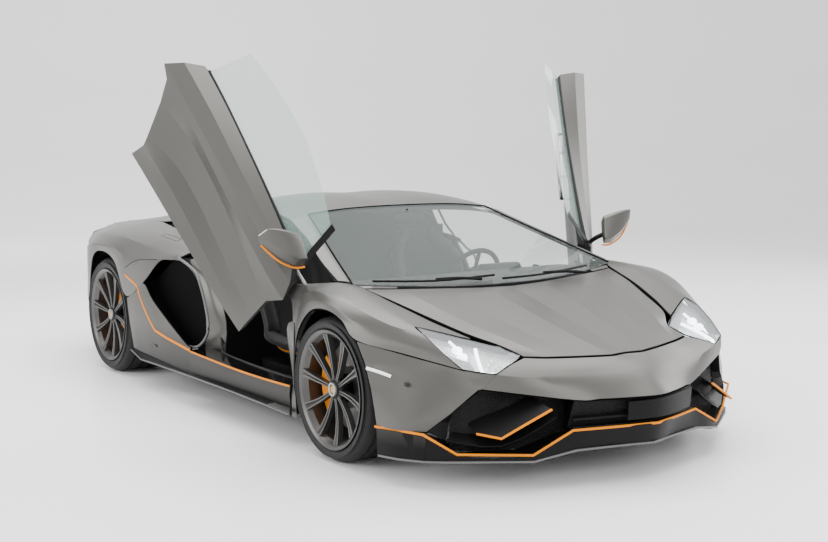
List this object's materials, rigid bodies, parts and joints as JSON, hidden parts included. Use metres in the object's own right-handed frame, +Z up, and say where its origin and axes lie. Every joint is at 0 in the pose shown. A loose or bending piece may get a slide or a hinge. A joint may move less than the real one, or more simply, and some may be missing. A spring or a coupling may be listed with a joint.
{
  "type": "supercar",
  "caption": "Low mid-engined supercar with scissor doors standing open, wide rear wheels, a lifting bonnet and engine cover, and steered front wheels.",
  "frame": {"origin": "on the floor under the middle of the wheelbase, centred on the car", "axes": "+Z up, the nose points to -Y, the car's left side is towards +X"},
  "size_m": [2.8828, 4.8683, 1.8643],
  "materials": {
    "body_paint": "satin",
    "dark_trim": "satin",
    "black_plastic": "matte",
    "screen_glass": "gloss",
    "side_glass": "gloss",
    "lamp_clear": "gloss",
    "lamp_red": "gloss",
    "tyre": "matte",
    "rim": "satin",
    "leather": "satin",
    "steel": "satin",
    "cast": "matte",
    "exhaust": "satin"
  },
  "bodies": {
    "car": {"tub": "black_plastic", "cabin_shell": "body_paint", "windscreen": "screen_glass", "cabin_glass": "screen_glass", "cowl": "black_plastic", "front_wings": "body_paint", "front_bumper": "body_paint", "front_splitter": "dark_trim", "intake_ducts": "black_plastic", "headlamps": "lamp_clear", "rear_quarters": "body_paint", "side_sills": "body_paint", "side_skirts": "dark_trim", "door_posts": "body_paint", "rear_bumper": "body_paint", "rear_grille": "black_plastic", "rear_diffuser": "dark_trim", "exhaust": "exhaust", "tail_lamps": "lamp_red", "rear_wing": "body_paint", "engine_block": "cast", "wheel_liners": "black_plastic", "dashboard": "leather", "centre_console": "leather", "seats": "leather", "rear_bulkhead": "black_plastic", "luggage_tub": "black_plastic", "suspension": "steel", "rear_knuckles": "steel"},
    "wheel_front_left": {"tyre_front_left": "tyre", "rim_front_left": "rim"},
    "wheel_front_right": {"tyre_front_right": "tyre", "rim_front_right": "rim"},
    "wheel_rear_left": {"tyre_rear_left": "tyre", "rim_rear_left": "rim"},
    "wheel_rear_right": {"tyre_rear_right": "tyre", "rim_rear_right": "rim"},
    "door_left": {"door_left": "body_paint", "door_trim_left": "leather", "door_glass_left": "side_glass", "mirror_left": "body_paint"},
    "knuckle_left": {"knuckle_left": "steel"},
    "door_right": {"door_right": "body_paint", "door_trim_right": "leather", "door_glass_right": "side_glass", "mirror_right": "body_paint"},
    "knuckle_right": {"knuckle_right": "steel"},
    "bonnet": {"bonnet": "body_paint"},
    "engine_cover": {"engine_cover": "dark_trim"},
    "steering_wheel": {"steering_wheel": "leather"}
  },
  "joints": [
    {"name": "door_left_swing", "type": "hinge", "parent": "car", "child": "door_left", "pos_m": [0.9, -0.956, 0.712], "axis": [0.8844, -0.1971, -0.4232], "range_deg": [-63.2, 0]},
    {"name": "door_right_swing", "type": "hinge", "parent": "car", "child": "door_right", "pos_m": [-0.9, -0.956, 0.712], "axis": [0.8844, 0.1971, 0.4232], "range_deg": [-63.2, 0]},
    {"name": "bonnet_lift", "type": "hinge", "parent": "car", "child": "bonnet", "pos_m": [0, -1.262, 0.735], "axis": [-1, 0, 0], "range_deg": [0, 32]},
    {"name": "engine_cover_lift", "type": "hinge", "parent": "car", "child": "engine_cover", "pos_m": [0, 0.622, 1.04], "axis": [1, 0, 0], "range_deg": [0, 45]},
    {"name": "steer_right", "type": "hinge", "parent": "car", "child": "knuckle_right", "pos_m": [-0.8, -1.35, 0.3305], "axis": [0, 0, 1], "range_deg": [-30, 30]},
    {"name": "steer_left", "type": "hinge", "parent": "car", "child": "knuckle_left", "pos_m": [0.8, -1.35, 0.3305], "axis": [0, 0, 1], "range_deg": [-30, 30]},
    {"name": "steering_wheel_turn", "type": "hinge", "parent": "car", "child": "steering_wheel", "pos_m": [0.37, -0.6, 0.69], "axis": [0, 0.9135, 0.4067], "range_deg": [-360, 360]},
    {"name": "wheel_front_left_spin", "type": "hinge", "parent": "knuckle_left", "child": "wheel_front_left", "pos_m": [0.86, -1.35, 0.3305], "axis": [1, 0, 0], "continuous": true},
    {"name": "wheel_front_right_spin", "type": "hinge", "parent": "knuckle_right", "child": "wheel_front_right", "pos_m": [-0.86, -1.35, 0.3305], "axis": [1, 0, 0], "continuous": true},
    {"name": "wheel_rear_left_spin", "type": "hinge", "parent": "car", "child": "wheel_rear_left", "pos_m": [0.835, 1.35, 0.3555], "axis": [1, 0, 0], "continuous": true},
    {"name": "wheel_rear_right_spin", "type": "hinge", "parent": "car", "child": "wheel_rear_right", "pos_m": [-0.835, 1.35, 0.3555], "axis": [1, 0, 0], "continuous": true}
  ],
  "couplings": [
    {"joint": "steer_left", "follows": "steer_right", "ratio": 1},
    {"joint": "steering_wheel_turn", "follows": "steer_right", "ratio": 12}
  ]
}
